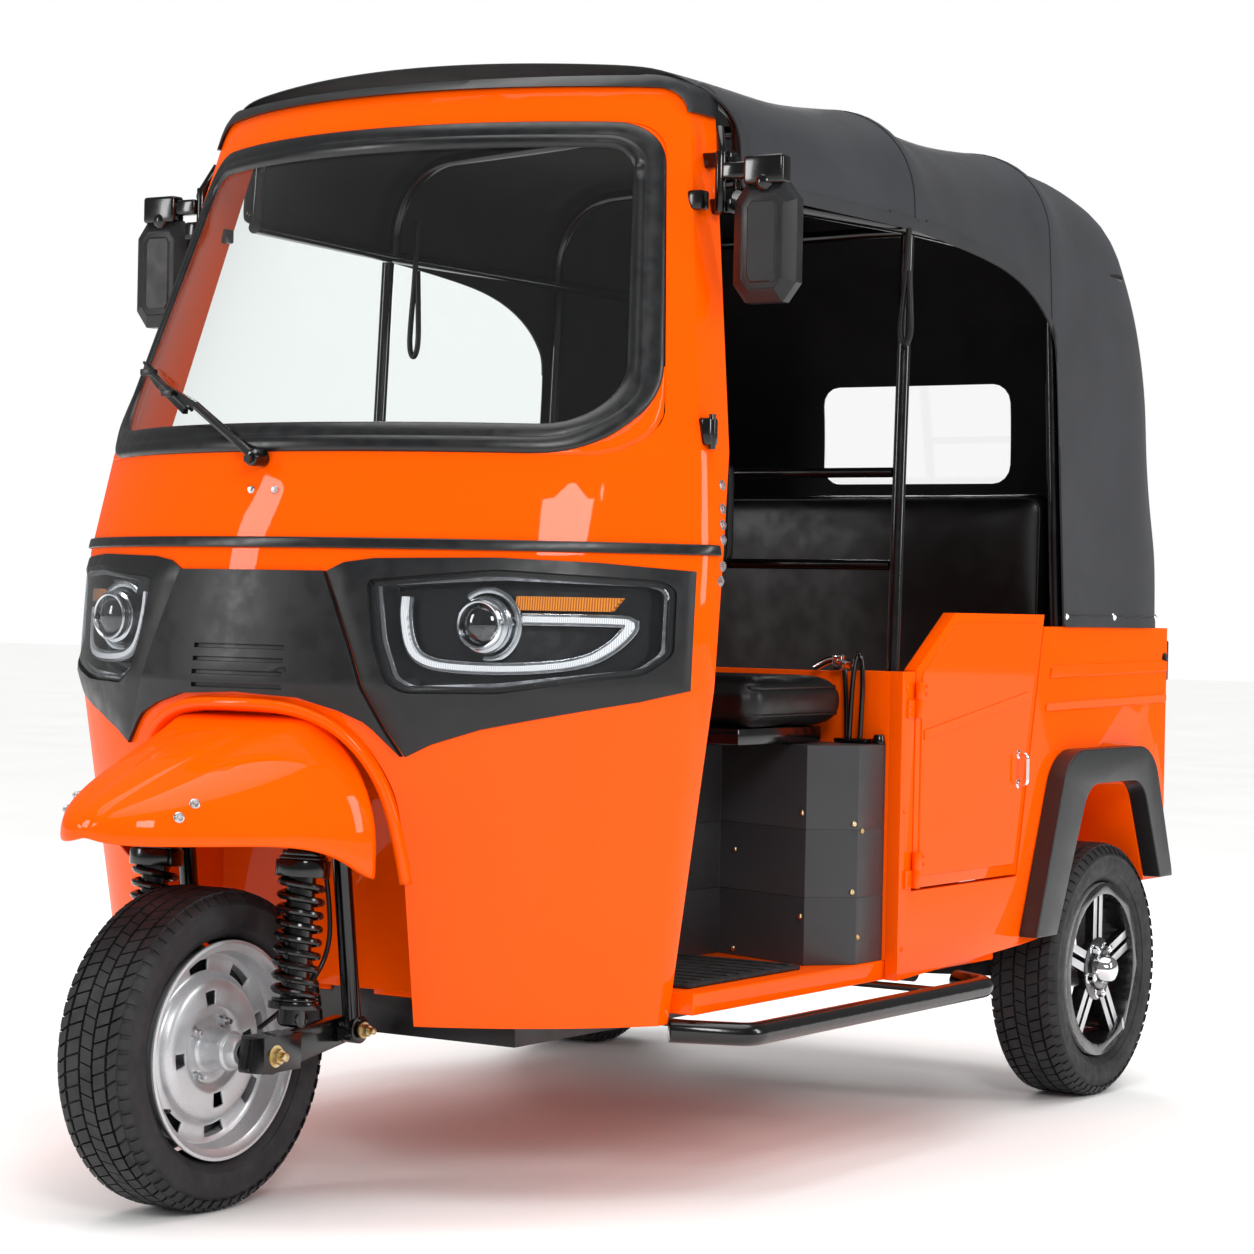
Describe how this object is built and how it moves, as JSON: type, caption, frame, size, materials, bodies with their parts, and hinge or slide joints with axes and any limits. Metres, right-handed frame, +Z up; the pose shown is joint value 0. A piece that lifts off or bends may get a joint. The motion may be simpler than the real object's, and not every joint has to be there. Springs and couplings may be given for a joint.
{
  "type": "auto rickshaw",
  "caption": "Three-wheeled passenger taxi with an open-sided hollow cab, canvas roof, rear bench, half doors, one steered front wheel and two rear wheels.",
  "frame": {"origin": "on the ground under the centre of the whole vehicle's bounding box", "axes": "+Z up, the front faces -Y, +X is the vehicle's own left side"},
  "size_m": [1.428, 2.668, 1.8798],
  "materials": {
    "orange_paint": "gloss",
    "black_paint": "gloss",
    "black_plastic": "satin",
    "lamp_lens": "clear",
    "glass": "clear",
    "rubber": "satin",
    "leatherette": "grained",
    "canvas": "woven, coated",
    "clear_film": "clear",
    "red_lens": "gloss",
    "cast_metal": "cast",
    "tyre": "matte",
    "silver_paint": "satin",
    "alloy": "machined",
    "chrome": "polished"
  },
  "bodies": {
    "body": {"floor_pan": "orange_paint", "underframe": "black_paint", "front_cowl": "orange_paint", "front_fender": "orange_paint", "wheel_housing": "orange_paint", "centre_fascia": "black_plastic", "lamp_surrounds": "black_plastic", "headlamps": "lamp_lens", "windscreen": "glass", "windscreen_seal": "rubber", "front_trim_strip": "rubber", "wiper": "black_paint", "mirrors": "black_plastic", "dashboard": "black_plastic", "driver_seat_base": "black_plastic", "driver_cushion": "leatherette", "driver_backrest": "leatherette", "bulkhead": "orange_paint", "partition_rails": "black_paint", "pillar_posts": "black_paint", "roof_bows": "black_paint", "roof_side_rails": "black_paint", "canopy": "canvas", "rear_window": "clear_film", "roof_visor": "rubber", "passenger_seat_box": "black_plastic", "passenger_cushion": "leatherette", "passenger_backrest": "leatherette", "rear_panel": "orange_paint", "wheel_flares": "black_plastic", "side_steps": "black_paint", "rear_bumper": "black_paint", "tail_lamps": "red_lens", "engine_block": "cast_metal", "rear_arms": "black_paint", "brake_lever": "black_paint", "side_panel_left": "orange_paint", "side_panel_right": "orange_paint"},
    "steering": {"fork": "black_paint", "handlebar": "black_paint", "front_links": "black_paint", "front_shocks": "black_paint"},
    "front_wheel": {"front_tyre": "tyre", "front_rim": "silver_paint"},
    "rear_wheel_left": {"rear_tyre_left": "tyre", "rear_rim_left": "alloy"},
    "rear_wheel_right": {"rear_tyre_right": "tyre", "rear_rim_right": "alloy"},
    "door_left": {"door_left": "orange_paint", "door_handle_left": "chrome"},
    "door_right": {"door_right": "orange_paint", "door_handle_right": "chrome"},
    "rear_lid": {"rear_lid": "orange_paint"}
  },
  "joints": [
    {"name": "steering", "type": "hinge", "parent": "body", "child": "steering", "pos_m": [0, -0.87908, 0.604], "axis": [0, 0.4067, 0.9135], "range_deg": [-35, 35]},
    {"name": "front_wheel_spin", "type": "hinge", "parent": "steering", "child": "front_wheel", "pos_m": [0, -1.073, 0.251], "axis": [1, 0, 0], "continuous": true},
    {"name": "rear_wheel_left_spin", "type": "hinge", "parent": "body", "child": "rear_wheel_left", "pos_m": [0.582, 0.927, 0.251], "axis": [1, 0, 0], "continuous": true},
    {"name": "rear_wheel_right_spin", "type": "hinge", "parent": "body", "child": "rear_wheel_right", "pos_m": [-0.582, 0.927, 0.251], "axis": [1, 0, 0], "continuous": true},
    {"name": "door_left_hinge", "type": "hinge", "parent": "body", "child": "door_left", "pos_m": [0.634, 0.134, 0.64], "axis": [0, 0, -1], "range_deg": [0, 80]},
    {"name": "door_right_hinge", "type": "hinge", "parent": "body", "child": "door_right", "pos_m": [-0.634, 0.134, 0.64], "axis": [0, 0, 1], "range_deg": [0, 80]},
    {"name": "rear_lid_hinge", "type": "hinge", "parent": "body", "child": "rear_lid", "pos_m": [0, 1.271, 0.853], "axis": [1, 0, 0], "range_deg": [0, 75]}
  ]
}
